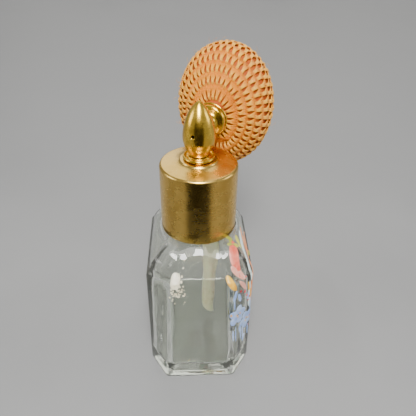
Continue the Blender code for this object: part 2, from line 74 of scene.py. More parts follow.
UP = Vector((0.0, 0.0, 1.0))
AWAY = -joint_axis("bulb_squeeze")            # from the head's axis towards the bulb's far end
SIDE = UP.cross(AWAY).normalized()
AIR_Z = sum(c[2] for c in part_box("air_pipe")) / 2.0


def extent(node, direction):
    """Lowest and highest distance of a node along a direction, from the world's origin."""
    along = node_points(node) @ np.array(direction)
    return float(along.min()), float(along.max())


def on_bulb_axis(s, across=0.0, up=0.0):
    """Point behind the head's axis by s, moved across and up from the bulb's axis."""
    return AWAY * s + SIDE * across + UP * (AIR_Z + up)


# -------- mesh helpers

def new_object(name, verts, faces, mat, uvs=None, sharp=40.0):
    mesh = bpy.data.meshes.new(name)
    mesh.from_pydata([tuple(v) for v in verts], [], [tuple(f) for f in faces])
    if uvs is not None:
        layer = mesh.uv_layers.new(name="UVMap")
        layer.data.foreach_set("uv", np.asarray(uvs, dtype=np.float32).ravel())
    mesh.shade_smooth()
    if sharp:
        mesh.set_sharp_from_angle(angle=math.radians(sharp))
    mesh.materials.append(mat)
    obj = bpy.data.objects.new(name, mesh)
    bpy.context.collection.objects.link(obj)
    return obj


def lofted(name, rings, mat, loop=False, sharp=40.0):
    """Closed body through rings of equal length; a loop joins the last ring to the first."""
    sides = len(rings[0])
    verts = [p for ring in rings for p in ring]
    faces = []
    spans = len(rings) if loop else len(rings) - 1
    for i in range(spans):
        low = i * sides
        high = ((i + 1) % len(rings)) * sides
        for j in range(sides):
            k = (j + 1) % sides
            faces.append((low + j, low + k, high + k, high + j))
    if not loop:
        faces.append(tuple(range(sides - 1, -1, -1)))
        last = (len(rings) - 1) * sides
        faces.append(tuple(range(last, last + sides)))
    return new_object(name, verts, faces, mat, sharp=sharp)


def round_ring(radius, along, sides, about_bulb=False):
    ring = []
    for j in range(sides):
        angle = 2.0 * math.pi * j / sides
        a = radius * math.cos(angle)
        b = radius * math.sin(angle)
        ring.append(on_bulb_axis(along, a, b) if about_bulb else Vector((a, b, along)))
    return ring


def turned(name, mat, outer, bore=None, sides=96, about_bulb=False, sharp=40.0):
    """Turned piece from (radius, along) profiles, listed in the axis's direction."""
    profile = list(outer) + list(reversed(bore or []))
    rings = [round_ring(r, a, sides, about_bulb) for r, a in profile]
    return lofted(name, rings, mat, loop=bool(bore), sharp=sharp)


def arc(centre_r, centre_a, radius, start, end, steps):
    points = []
    for i in range(steps + 1):
        angle = math.radians(start + (end - start) * i / steps)
        points.append((centre_r + radius * math.cos(angle), centre_a + radius * math.sin(angle)))
    return points


def smooth_curve(points, steps):
    """Catmull-Rom curve through points of two numbers each."""
    out = []
    count = len(points)
    for i in range(count - 1):
        p0 = points[max(i - 1, 0)]
        p1 = points[i]
        p2 = points[i + 1]
        p3 = points[min(i + 2, count - 1)]
        for k in range(steps):
            t = k / steps
            out.append(tuple(
                0.5 * (2 * b + (c - a) * t + (2 * a - 5 * b + 4 * c - d) * t * t
                       + (3 * b - a - 3 * c + d) * t ** 3)
                for a, b, c, d in zip(p0, p1, p2, p3)))
    out.append(tuple(points[-1]))
    return out


# -------- materials

class Nodes:
    """Short way to build a material's node tree; patterns are laid in the object's own space."""

    def __init__(self, name):
        self.mat = bpy.data.materials.new(name)
        self.mat.use_nodes = True
        self.tree = self.mat.node_tree
        self.bsdf = self.tree.nodes["Principled BSDF"]
        self.coords = self.tree.nodes.new("ShaderNodeTexCoord").outputs["Object"]

    def set(self, **values):
        for key, value in values.items():
            self.bsdf.inputs[key.replace("_", " ")].default_value = value

    def link(self, source, target):
        self.tree.links.new(source, target)

    def scaled(self, scale):
        mapping = self.tree.nodes.new("ShaderNodeMapping")
        mapping.inputs["Scale"].default_value = scale
        self.link(self.coords, mapping.inputs["Vector"])
        return mapping.outputs["Vector"]

    def noise(self, scale, detail=3.0, rough=0.5, stretch=None):
        node = self.tree.nodes.new("ShaderNodeTexNoise")
        node.inputs["Scale"].default_value = scale
        node.inputs["Detail"].default_value = detail
        node.inputs["Roughness"].default_value = rough
        self.link(self.scaled(stretch) if stretch else self.coords, node.inputs["Vector"])
        return node.outputs["Fac"]

    def ramp(self, factor, *stops):
        node = self.tree.nodes.new("ShaderNodeValToRGB")
        elements = node.color_ramp.elements
        while len(elements) < len(stops):
            elements.new(0.5)
        for element, (position, color) in zip(elements, stops):
            element.position = position
            element.color = (*color, 1.0)
        self.link(factor, node.inputs["Fac"])
        return node.outputs["Color"]

    def level(self, factor, low, high, to_low, to_high):
        node = self.tree.nodes.new("ShaderNodeMapRange")
        node.inputs["From Min"].default_value = low
        node.inputs["From Max"].default_value = high
        node.inputs["To Min"].default_value = to_low
        node.inputs["To Max"].default_value = to_high
        self.link(factor, node.inputs["Value"])
        return node.outputs["Result"]

    def mix(self, factor, a, b):
        node = self.tree.nodes.new("ShaderNodeMix")
        node.data_type = "RGBA"
        for value, key in ((factor, "Factor"), (a, "A"), (b, "B")):
            socket = node.inputs[key]
            if isinstance(value, float):
                socket.default_value = value
            elif isinstance(value, tuple):
                socket.default_value = (*value, 1.0)
            else:
                self.link(value, socket)
        return node.outputs["Result"]

    def math(self, operation, a, b):
        node = self.tree.nodes.new("ShaderNodeMath")
        node.operation = operation
        for value, socket in ((a, node.inputs[0]), (b, node.inputs[1])):
            if isinstance(value, float):
                socket.default_value = value
            else:
                self.link(value, socket)
        return node.outputs["Value"]

    def bump(self, height, strength, distance, below=None):
        node = self.tree.nodes.new("ShaderNodeBump")
        node.inputs["Strength"].default_value = strength
        node.inputs["Distance"].default_value = distance
        self.link(height, node.inputs["Height"])
        if below is not None:
            self.link(below, node.inputs["Normal"])
        return node.outputs["Normal"]

    def finish(self, color, roughness, normal=None):
        for source, key in ((color, "Base Color"), (roughness, "Roughness"), (normal, "Normal")):
            if source is not None:
                self.link(source, self.bsdf.inputs[key])
        return self.mat


def glass_material():
    n = Nodes("thick_pressed_glass")
    n.set(Transmission_Weight=0.965, IOR=1.47)
    wave = n.noise(120.0, 2.0, 0.4, stretch=(1.0, 1.0, 0.25))
    color = n.ramp(wave, (0.3, (0.90, 0.945, 0.86)), (0.7, (0.955, 0.975, 0.925)))
    rough = n.level(n.noise(900.0, 2.0), 0.4, 0.75, 0.0, 0.05)
    return n.finish(color, rough, n.bump(wave, 0.25, 0.6 * MM))


def gold_material(name, bright, deep, rough, grain, pits, stretch):
    """Gold plate: two tints, roughness from wear, fine turning grain and small pits."""
    n = Nodes(name)
    n.set(Metallic=1.0)
    cloud = n.noise(170.0, 4.0, 0.6)
    color = n.ramp(cloud, (0.3, deep), (0.6, bright))
    spots = n.noise(700.0, 2.0, 0.5)
    color = n.mix(n.level(spots, 0.66, 0.78, 0.0, pits), color, (0.16, 0.075, 0.02))
    lines = n.noise(600.0, 2.0, 0.5, stretch=stretch)
    roughness = n.math("ADD", n.level(cloud, 0.3, 0.7, rough - grain, rough + grain),
                       n.level(lines, 0.3, 0.7, -0.3 * grain, 0.3 * grain))
    normal = n.bump(lines, 0.12, 0.05 * MM)
    normal = n.bump(spots, 0.35 * pits, 0.1 * MM, normal)
    return n.finish(color, roughness, normal)


def brass_material():
    n = Nodes("turned_brass")
    n.set(Metallic=1.0)
    cloud = n.noise(400.0, 4.0, 0.6)
    color = n.ramp(cloud, (0.35, (0.42, 0.27, 0.10)), (0.65, (0.66, 0.47, 0.19)))
    return n.finish(color, n.level(cloud, 0.3, 0.7, 0.28, 0.5), n.bump(cloud, 0.15, 0.1 * MM))


def moulded_material(name, dark, light, rough, scale=500.0):
    n = Nodes(name)
    cloud = n.noise(scale, 3.0, 0.55)
    return n.finish(n.ramp(cloud, (0.3, dark), (0.7, light)),
                    n.level(cloud, 0.3, 0.7, rough - 0.08, rough + 0.08), n.bump(cloud, 0.1, 0.1 * MM))


def tube_material():
    """Yellowed translucent tube, a little cloudy."""
    n = Nodes("yellowed_tube")
    n.set(Subsurface_Weight=0.2, Subsurface_Scale=0.002)
    cloud = n.noise(260.0, 3.0, 0.6, stretch=(1.0, 1.0, 0.35))
    color = n.ramp(cloud, (0.3, (0.90, 0.80, 0.48)), (0.7, (0.96, 0.90, 0.66)))
    return n.finish(color, n.level(cloud, 0.3, 0.7, 0.22, 0.38), n.bump(cloud, 0.1, 0.1 * MM))


def yarn_material():
    """Silky twisted thread; its ply, the painted shade in the ply's grooves and at the strand's tucked end,
    and the painted highlight on its middle follow the thread's own length.
    """
    n = Nodes("silk_yarn")
    n.set(Sheen_Weight=0.12, Sheen_Roughness=0.3, Sheen_Tint=(1.0, 0.80, 0.50, 1.0),
          Specular_IOR_Level=0.7, Specular_Tint=(1.0, 0.80, 0.42, 1.0))
    uv = n.tree.nodes.new("ShaderNodeUVMap")
    uv.uv_map = "UVMap"
    split = n.tree.nodes.new("ShaderNodeSeparateXYZ")
    n.link(uv.outputs["UV"], split.inputs["Vector"])
    run = split.outputs["X"]
    turn = n.math("ADD", run, split.outputs["Y"])
    ply = n.math("ABSOLUTE", n.math("SINE", n.math("MULTIPLY", turn, 3.0 * math.pi), 0.0), 0.0)
    cloud = n.noise(90.0, 3.0, 0.5)
    strand = n.noise(1400.0, 2.0, 0.5)
    tint = n.ramp(cloud, (0.32, (0.90, 0.27, 0.006)), (0.5, (0.95, 0.38, 0.012)),
                  (0.68, (0.94, 0.34, 0.04)))
    # painted shade: the grooves between the plies are darkened towards deep orange
    color = n.mix(n.level(ply, 0.0, 0.45, 0.7, 0.0), tint, (0.60, 0.08, 0.008))
    color = n.mix(n.level(strand, 0.45, 0.75, 0.0, 0.3), color, (0.98, 0.58, 0.12))
    # painted highlight: a stitch's post, where its strands stand up, is paled towards cream
    post_highlight = n.math("MULTIPLY", n.level(run, 0.2, 1.1, 0.0, 1.0), n.level(run, 1.6, 3.4, 1.0, 0.0))
    color = n.mix(n.math("MULTIPLY", post_highlight, 0.5), color, (1.0, 0.60, 0.08))
    # painted shade: the strand's far end, where it tucks into the gap under the next round, is darkened
    # towards deep orange
    spread = n.level(run, 2.2, 4.0, 0.0, 0.7)
    color = n.mix(spread, color, (0.76, 0.20, 0.001))
    normal = n.bump(ply, 0.6, 0.15 * MM)
    return n.finish(color, n.level(strand, 0.3, 0.7, 0.22, 0.36), n.bump(strand, 0.3, 0.05 * MM, normal))


# painted shade: the ground is a darker copy of the yarn's orange, so that the gaps between the stitches
# read as shaded
def gap_shade_ground_material():
    n = Nodes("crochet_gap_shade_ground")
    cloud = n.noise(500.0, 3.0, 0.5)
    color = n.ramp(cloud, (0.3, (0.38, 0.062, 0.003)), (0.7, (0.56, 0.12, 0.005)))
    return n.finish(color, n.level(cloud, 0.3, 0.7, 0.7, 0.9), n.bump(cloud, 0.5, 0.3 * MM))


def enamel_material(name, deep, light):
    """Fired enamel: brushed tint with fine specks where it is worn."""
    n = Nodes(name)
    n.set(Coat_Weight=0.3, Coat_Roughness=0.15)
    stroke = n.noise(420.0, 3.0, 0.6, stretch=(1.0, 0.4, 1.0))
    speck = n.noise(2600.0, 2.0, 0.6)
    color = n.mix(n.level(speck, 0.62, 0.75, 0.0, 0.45), n.ramp(stroke, (0.35, deep), (0.65, light)),
                  (0.93, 0.90, 0.80))
    return n.finish(color, n.level(speck, 0.3, 0.7, 0.30, 0.5), n.bump(stroke, 0.4, 0.1 * MM))


GLASS = glass_material()
SATIN_GOLD = gold_material("satin_gold_plate", (0.80, 0.54, 0.14), (0.70, 0.45, 0.10),
                           0.27, 0.05, 0.25, (0.15, 0.15, 3.0))
BRIGHT_GOLD = gold_material("bright_gold_plate", (0.89, 0.58, 0.075), (0.76, 0.45, 0.03),
                            0.25, 0.04, 0.35, (0.2, 0.2, 2.5))
HEAD_GOLD = gold_material("worn_head_plate", (0.89, 0.58, 0.075), (0.74, 0.43, 0.04),
                          0.25, 0.05, 0.8, (1.0, 1.0, 1.0))
# painted shade: the nozzle seen through the spray hole is darkened nearly to black
HOLE_SHADE_BRASS = gold_material("hole_shaded_nozzle_brass", (0.045, 0.028, 0.010), (0.020, 0.012, 0.005),
                             0.55, 0.05, 0.2, (1.0, 1.0, 1.0))
BRASS = brass_material()
LINER = moulded_material("liner_moulding", (0.05, 0.03, 0.02), (0.09, 0.055, 0.04), 0.42)
RUBBER = moulded_material("black_rubber", (0.012, 0.012, 0.012), (0.03, 0.03, 0.03), 0.68)
FIBRE = moulded_material("pressed_fibre", (0.20, 0.06, 0.03), (0.32, 0.11, 0.06), 0.75, 1500.0)
TUBE = tube_material()
YARN = yarn_material()
# deep and light tint of each enamel
ENAMEL_TINTS = {
    "blue": ((0.22, 0.36, 0.74), (0.48, 0.62, 0.88)),
    "coral": ((0.72, 0.10, 0.06), (0.86, 0.24, 0.16)),
    "pink": ((0.80, 0.30, 0.22), (0.90, 0.48, 0.38)),
    "peach": ((0.84, 0.26, 0.08), (0.92, 0.42, 0.20)),
    "white": ((0.62, 0.78, 0.80), (0.80, 0.90, 0.88)),
    "leaf": ((0.30, 0.34, 0.03), (0.62, 0.60, 0.12)),
    "yellow": ((0.78, 0.34, 0.01), (0.92, 0.58, 0.04)),
    "red": ((0.50, 0.01, 0.02), (0.72, 0.04, 0.05)),
    "ivory": ((0.66, 0.60, 0.40), (0.84, 0.80, 0.60)),
}
ENAMEL = {tint: enamel_material("enamel_paint_" + tint, *pair) for tint, pair in ENAMEL_TINTS.items()}
GAP_SHADE_GROUND = gap_shade_ground_material()


# -------- glass bottle

glass_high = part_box("glass_bottle")[1]
collar_low, collar_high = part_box("collar_shell")
COLLAR_R = collar_high[0]
COLLAR_BOTTOM = collar_low[2]
BOSS_Z = collar_high[2]                       # flat boss on the collar's top
RIM_Z = BOSS_Z - 1.7 * MM
SEAT_Z = COLLAR_BOTTOM - 0.4 * MM
SHOULDER_Z = 47.2 * MM
BASE_HALF = (20.7 * MM, glass_high[1])        # half sizes of the plan across X and Y
BASE_FACE = (13.9 * MM, 22.0 * MM)            # half lengths of its flat faces
SHOULDER_HALF = (glass_high[0], 26.4 * MM)
SHOULDER_FACE = (12.4 * MM, 19.3 * MM)
CORNER_R = 2.0 * MM
WALL = 3.1 * MM
FLOOR_Z = 3.4 * MM
CAVITY_CORNER_R = 3.6 * MM
CAVITY_FLOOR_R = 3.0 * MM
NECK_R = 10.0 * MM
NECK_BORE_R = 7.5 * MM
THREAD_DEPTH = 0.9 * MM
CORNER_ARC = 7                                # points round a corner
FLAT_POINTS = 9                               # points along a flat face


def at_height(z):
    """Half sizes and flat face half lengths of the bottle's flanks at a height."""
    t = z / SHOULDER_Z
    half = [b + (s - b) * t for b, s in zip(BASE_HALF, SHOULDER_HALF)]
    face = [b + (s - b) * t for b, s in zip(BASE_FACE, SHOULDER_FACE)]
    return half, face


def octagon(z, half, face, inset, corner):
    """Eight-sided ring, moved in by the inset, with corners rounded to a radius."""
    hx = half[0] - inset
    hy = half[1] - inset
    fx = face[0] - 0.6 * inset
    fy = face[1] - 0.45 * inset
    plan = [(hx, -fy), (hx, fy), (fx, hy), (-fx, hy), (-hx, fy), (-hx, -fy), (-fx, -hy), (fx, -hy)]
    corners = [Vector(c) for c in plan]
    arcs = []
    for i, here in enumerate(corners):
        to_last = (corners[i - 1] - here).normalized()
        to_next = (corners[(i + 1) % 8] - here).normalized()
        middle = (to_last + to_next).normalized()
        half_angle = to_last.angle(to_next) / 2.0
        centre = here + middle * (corner / math.sin(half_angle))
        start = here + to_last * (corner / math.tan(half_angle)) - centre
        sweep = math.pi - 2.0 * half_angle
        arc_points = []
        for k in range(CORNER_ARC):
            turn = Matrix.Rotation(sweep * k / (CORNER_ARC - 1), 2)
            arc_points.append(centre + turn @ start)
        arcs.append(arc_points)
    ring = []
    for i, arc_points in enumerate(arcs):
        ring += arc_points
        after = arcs[(i + 1) % 8][0]
        for k in range(1, FLAT_POINTS + 1):
            ring.append(arc_points[-1].lerp(after, k / (FLAT_POINTS + 1)))
    return [Vector((p.x, p.y, z)) for p in ring]


def smooth_step(low, high, value):
    """0 at the low value, 1 at the high one, eased at both."""
    t = min(1.0, max(0.0, (value - low) / (high - low)))
    return t * t * (3.0 - 2.0 * t)


def shoulder_rings(edge, top_z, radius, steps):
    """Rings from the shoulder's edge to a circle: domed at the sides, straighter at the ends."""
    rings = []
    for step in range(1, steps + 1):
        amount = step / steps
        domed = math.sin(0.5 * math.pi * min(1.0, amount / 0.92)) ** 0.78
        straight = 0.8 * amount + 0.2 * math.sin(0.5 * math.pi * amount)
        ring = []
        for point in edge:
            flat = Vector((point.x, point.y, 0.0))
            at_end = smooth_step(0.80, 0.96, abs(point.y) / flat.length)
            share = domed + (straight - domed) * at_end
            mixed = flat.lerp(flat.normalized() * radius, amount)
            ring.append(Vector((mixed.x, mixed.y, point.z + (top_z - point.z) * share)))
        rings.append(ring)
    return rings


def uneven(ring, depth):
    """Slow waves and fine flutes that pressing leaves in the glass."""
    out = []
    for p in ring:
        angle = math.atan2(p.y, p.x)
        wave = math.sin(3.0 * angle + 170.0 * p.z) * math.sin(5.0 * angle - 260.0 * p.z + 1.0)
        wave += 0.5 * math.sin(9.0 * angle + 420.0 * p.z)
        wave += 0.7 * math.sin(31.0 * angle + 25.0 * p.z) * math.sin(13.0 * angle - 40.0 * p.z)
        flat = Vector((p.x, p.y, 0.0)).normalized()
        out.append(p + flat * (depth * wave))
    return out


def neck_ring(radius, z, angles):
    return [Vector((radius * math.cos(a), radius * math.sin(a), z)) for a in angles]


def foot_and_flanks():
    """Outside of the glass from its hollow foot up to the rounded edge of the shoulder."""
    half, face = at_height(0.0)
    hollow = ((0.5 * MM, 5.0 * MM), (0.42 * MM, 4.2 * MM), (0.0, 3.0 * MM))
    rings = [octagon(z, half, face, inset, CORNER_R) for z, inset in hollow]
    edge_r = 1.4 * MM
    for i in range(7):
        angle = 0.5 * math.pi * i / 6.0
        inset = edge_r * (1.0 - math.sin(angle))
        rings.append(octagon(edge_r * (1.0 - math.cos(angle)), half, face, inset, CORNER_R))
    shoulder_r = 2.2 * MM
    straight_top = SHOULDER_Z - shoulder_r
    for i in range(1, 13):
        z = edge_r + (straight_top - edge_r) * i / 12.0
        rings.append(octagon(z, *at_height(z), 0.0, CORNER_R))
    half, face = at_height(SHOULDER_Z)
    for i in range(1, 6):
        angle = math.radians(12.0 * i)
        ring = octagon(straight_top + shoulder_r * math.sin(angle), half, face,
                       shoulder_r * (1.0 - math.cos(angle)), CORNER_R)
        rings.append(uneven(ring, 0.05 * MM) if i > 1 else ring)
    return rings


def threaded_neck(angles):
    """Neck from the collar's seat up to its rim and down its bore, with two thread ridges."""
    top = glass_high[2]
    rings = [neck_ring(NECK_R + 0.6 * MM, SEAT_Z + 0.15 * MM, angles),
             neck_ring(NECK_R, SEAT_Z + 0.8 * MM, angles)]
    for i in range(17):
        z = top - 10.0 * MM + 7.0 * MM * i / 16.0
        ridge = 0.5 - 0.5 * math.cos(4.0 * math.pi * i / 16.0)
        rings.append(neck_ring(NECK_R + THREAD_DEPTH * ridge, z, angles))
    rim = 0.8 * MM
    lip = arc(NECK_R - rim, top - rim, rim, 0.0, 90.0, 5)
    lip += arc(NECK_BORE_R + rim, top - rim, rim, 90.0, 180.0, 5)
    rings += [neck_ring(r, z, angles) for r, z in lip]
    rings.append(neck_ring(NECK_BORE_R, SEAT_Z + 1.0 * MM, angles))
    return rings


def cavity():
    """Inside of the bottle from under its neck down to its floor."""
    top = SHOULDER_Z - 1.5 * MM
    foot = FLOOR_Z + CAVITY_FLOOR_R
    edge = octagon(top, *at_height(top), WALL, CAVITY_CORNER_R)
    dome = shoulder_rings(edge, SEAT_Z - 2.6 * MM, NECK_BORE_R + 0.8 * MM, 12)
    rings = [uneven(ring, 0.10 * MM) for ring in reversed(dome)]
    for i in range(14, -1, -1):
        z = foot + (top - foot) * i / 14.0
        depth = (0.14 + 0.16 * smooth_step(20.0 * MM, 6.0 * MM, z)) * MM
        rings.append(uneven(octagon(z, *at_height(z), WALL, CAVITY_CORNER_R), depth))
    for i in range(1, 7):
        angle = 0.5 * math.pi * i / 6.0
        z = FLOOR_Z + CAVITY_FLOOR_R * (1.0 - math.sin(angle))
        inset = WALL + CAVITY_FLOOR_R * (1.0 - math.cos(angle))
        rings.append(uneven(octagon(z, *at_height(z), inset, CAVITY_CORNER_R), 0.30 * MM))
    return rings


def make_glass():
    rings = foot_and_flanks()
    rings += shoulder_rings(rings[-1], SEAT_Z, COLLAR_R, 16)
    angles = [math.atan2(p.y, p.x) for p in rings[-1]]
    rings += threaded_neck(angles) + cavity()
    glass = lofted("glass_body", rings, GLASS, sharp=70.0)
    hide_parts("glass_bottle")
    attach(glass, "bottle")
    return glass


glass_body = make_glass()


# -------- enamel flowers

PAINT_GAP = 0.02 * MM                         # between the glass and the paint's underside
STROKE_COLUMNS = 7


class Painter:
    """Lays raised enamel strokes on the glass; azimuths are in degrees, heights and sizes in mm."""

    def __init__(self, glass):
        self.glass = BVHTree.FromObject(glass, bpy.context.evaluated_depsgraph_get())
        self.verts = []
        self.faces = []

    def on_glass(self, azimuth, height):
        angle = math.radians(azimuth)
        out = Vector((math.cos(angle), math.sin(angle), 0.0))
        hit, normal, _, _ = self.glass.ray_cast(out * 0.1 + UP * (height * MM), -out)
        return hit, normal

    def settle(self, point, normal, rise):
        """Point moved along the normal onto the glass, then lifted from it by the rise."""
        hit, near, _, _ = self.glass.ray_cast(point + normal * 4.0 * MM, -normal)
        return (point if hit is None else hit) + (normal if hit is None else near) * rise

    def sheet(self, grid):
        """Closed thin body from a grid of (point, normal, rise), thin at its border."""
        rows = len(grid)
        columns = len(grid[0])
        start = len(self.verts)
        for lift in (1.0, 0.0):
            for row in grid:
                for point, normal, rise in row:
                    self.verts.append(self.settle(point, normal, PAINT_GAP + lift * rise))
        size = rows * columns
        for i in range(rows - 1):
            for j in range(columns - 1):
                a = start + i * columns + j
                self.faces.append((a, a + 1, a + columns + 1, a + columns))
                self.faces.append((a + size, a + size + columns, a + size + columns + 1, a + size + 1))
        border = [(0, j) for j in range(columns)] + [(i, columns - 1) for i in range(1, rows)]
        border += [(rows - 1, j) for j in range(columns - 2, -1, -1)]
        border += [(i, 0) for i in range(rows - 2, 0, -1)]
        ring = [start + i * columns + j for i, j in border]
        for k, here in enumerate(ring):
            after = ring[(k + 1) % len(ring)]
            self.faces.append((after, here, here + size, after + size))

    def stroke(self, path, width, rise=0.16, blunt=0.6, steps=18):
        """Brush stroke through (azimuth, height) points, widest in its middle."""
        line = smooth_curve(path, max(2, steps // (len(path) - 1)))
        places = [self.on_glass(*p) for p in line]
        grid = []
        for i, (point, normal) in enumerate(places):
            ahead = places[min(i + 1, len(places) - 1)][0] - places[max(i - 1, 0)][0]
            cross = ahead.cross(normal).normalized()
            t = i / (len(places) - 1)
            half = 0.5 * width * MM * max(0.04, math.sin(math.pi * min(0.98, max(0.02, t))) ** blunt)
            row = []
            for j in range(STROKE_COLUMNS):
                w = 2.0 * j / (STROKE_COLUMNS - 1) - 1.0
                crown = rise * MM * (0.25 + 0.75 * math.sqrt(max(0.0, 1.0 - w * w)))
                row.append((point + cross * (half * w), normal, crown))
            grid.append(row)
        self.sheet(grid)

    def petal(self, azimuth, height, angle, length, width, rise=0.16):
        """Short stroke from a flower's centre outwards, at an angle from straight up."""
        point, _ = self.on_glass(azimuth, height)
        radius = math.hypot(point.x, point.y) / MM
        turn = math.radians(angle)
        per_mm = math.degrees(1.0 / radius)
        path = []
        for t in (0.12, 0.5, 1.0):
            reach = length * t
            path.append((azimuth + per_mm * reach * math.sin(turn), height + reach * math.cos(turn)))
        self.stroke(path, width, rise, 0.55, 10)

    def dot(self, azimuth, height, radius, rise=0.2):
        self.petal(azimuth, height - radius, 0.0, 2.0 * radius, 2.0 * radius, rise)

    def flower(self, azimuth, height, size, petals, turn):
        for k in range(petals):
            self.petal(azimuth, height, turn + 360.0 * k / petals, size, 0.82 * size)

    def finish(self, name, mat):
        piece = new_object(name, self.verts, self.faces, mat, sharp=50.0)
        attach(piece, "bottle")
        self.verts = []
        self.faces = []


# flowers: azimuth, height, size and the first petal's angle
BLUE_FLOWERS = (
    (-60.5, 30.0, 4.6, 15.0), (-50.0, 24.0, 4.4, 50.0), (-16.0, 21.0, 5.0, 30.0), (8.0, 15.5, 4.2, 0.0),
)
CORAL_FLOWERS = ((-6.0, 36.0, 7.0, 10.0), (28.0, 29.0, 5.4, 40.0))
# single petals: azimuth, height, angle from straight up, length and width
BLUE_PETALS = (
    (-65.0, 37.5, 20.0, 5.5, 1.7), (-57.0, 35.5, -15.0, 5.0, 1.7), (-49.0, 33.5, 10.0, 4.5, 1.7),
    (-52.5, 17.0, 200.0, 4.0, 1.7), (-59.0, 24.0, 170.0, 5.0, 1.7),
    (-66.0, 18.0, 0.0, 6.0, 0.8), (-63.5, 16.5, 0.0, 8.5, 0.8), (-57.5, 15.0, 0.0, 7.0, 0.8),
    (-55.0, 14.0, 0.0, 9.0, 0.8), (-48.0, 13.5, 0.0, 6.5, 0.8), (-45.6, 27.0, 0.0, 8.0, 0.8),
    (-64.0, 33.0, 0.0, 7.0, 0.8),
)
# leaves: azimuth, height and angle from straight up
LEAVES = (
    (-26.0, 17.0, -60.0), (-22.0, 25.0, 70.0), (1.0, 14.0, 65.0), (-1.0, 22.0, -60.0),
    (22.0, 15.0, 70.0), (25.0, 20.0, -65.0), (-14.0, 44.0, -50.0), (14.0, 38.0, 60.0),
)
# berries: azimuth, height and radius
BERRIES = (
    (-57.0, 40.8, 0.55), (-52.3, 39.2, 0.6), (-49.8, 36.6, 0.5), (-47.1, 35.1, 0.65),
    (-48.2, 33.6, 0.45), (-50.7, 46.0, 0.35), (-46.2, 24.2, 0.4), (-47.2, 19.2, 0.35),
    (-8.0, 26.0, 0.6), (-4.0, 24.0, 0.5), (10.0, 24.5, 0.6), (18.0, 34.0, 0.5),
)
# brush strokes of each enamel: width, then the azimuths and heights that it passes
STROKES = {
    "coral": (
        (3.8, (-44.0, 56.1), (-51.0, 54.6), (-55.5, 51.6), (-56.0, 46.8)),
    ),
    "pink": (
        (3.0, (-60.5, 50.8), (-57.0, 48.6), (-52.0, 45.5)),
        (1.8, (-58.0, 45.8), (-54.0, 43.0), (-51.0, 40.0)),
    ),
    "peach": (
        (1.3, (-6.0, 55.0), (-17.0, 54.0), (-27.0, 51.6), (-33.0, 47.5), (-42.0, 44.5)),
        (1.1, (-14.0, 52.6), (-22.0, 50.6), (-29.0, 47.2)),
        (1.2, (-43.0, 46.0), (-44.2, 40.0), (-45.0, 32.0)),
        (1.3, (-20.0, 46.0), (-12.0, 49.5), (0.0, 50.5), (10.0, 48.0)),
    ),
    "white": (
        (2.0, (-16.0, 55.4), (-27.0, 54.2), (-37.0, 52.4), (-43.0, 48.5), (-45.0, 43.0)),
        (1.5, (-46.5, 43.0), (-47.0, 36.0), (-47.5, 30.0)),
    ),
    "leaf": (
        (2.0, (-53.0, 56.0), (-47.0, 55.6), (-41.0, 54.6)),
        (1.6, (-30.0, 56.0), (-36.0, 55.2), (-40.0, 53.6)),
        (1.6, (-48.0, 55.9), (-42.0, 56.2), (-36.0, 56.3)),
        (1.0, (-30.0, 14.0), (-24.0, 20.0), (-20.0, 28.0)),
        (1.0, (2.0, 10.0), (0.0, 18.0), (-2.0, 28.0)),
        (1.0, (20.0, 12.0), (24.0, 18.0), (27.0, 24.0)),
    ),
    "yellow": (
        (2.6, (-67.0, 48.6), (-65.5, 46.4), (-62.0, 43.0)),
        (1.5, (-48.5, 43.0), (-46.5, 38.0), (-45.8, 34.0)),
    ),
}


def paint_hearts(painter):
    """Yellow hearts of the flowers, and one loose dot."""
    for azimuth, height, _, turn in BLUE_FLOWERS:
        for k in range(3):
            place = 2.1 * k + turn
            painter.dot(azimuth + 2.2 * math.cos(place), height + 0.8 * math.sin(place), 0.55)
    for azimuth, height, _, _ in CORAL_FLOWERS:
        painter.dot(azimuth, height, 1.3)
    painter.dot(-67.0, 31.8, 0.6)


def paint_worn_patch(painter):
    """Patch at the front's left edge, worn to specks."""
    rng = random.Random(3)
    painter.stroke([(-111.5, 49.5), (-110.6, 47.4), (-110.0, 44.8)], 3.6, blunt=0.35)
    for _ in range(64):
        azimuth = rng.gauss(-108.0, 2.7)
        height = rng.gauss(44.0, 2.6)
        painter.dot(azimuth, height, rng.uniform(0.14, 0.48))


def paint_flowers():
    painter = Painter(glass_body)
    for tint in ENAMEL:
        for width, *path in STROKES.get(tint, ()):
            painter.stroke(path, width)
        if tint == "blue":
            for azimuth, height, size, turn in BLUE_FLOWERS:
                painter.flower(azimuth, height, size, 5, turn)
            for petal in BLUE_PETALS:
                painter.petal(*petal)
        elif tint == "coral":
            for azimuth, height, size, turn in CORAL_FLOWERS:
                painter.flower(azimuth, height, size, 6, turn)
        elif tint == "pink":
            for azimuth, height, size, turn in CORAL_FLOWERS:
                painter.flower(azimuth, height, 0.62 * size, 5, turn + 30.0)
        elif tint == "leaf":
            for leaf in LEAVES:
                painter.petal(*leaf, 6.5, 2.6)
        elif tint == "yellow":
            paint_hearts(painter)
        elif tint == "red":
            for berry in BERRIES:
                painter.dot(*berry)
        elif tint == "ivory":
            paint_worn_patch(painter)
        painter.finish("enamel_" + tint, ENAMEL[tint])


paint_flowers()


# -------- collar and head

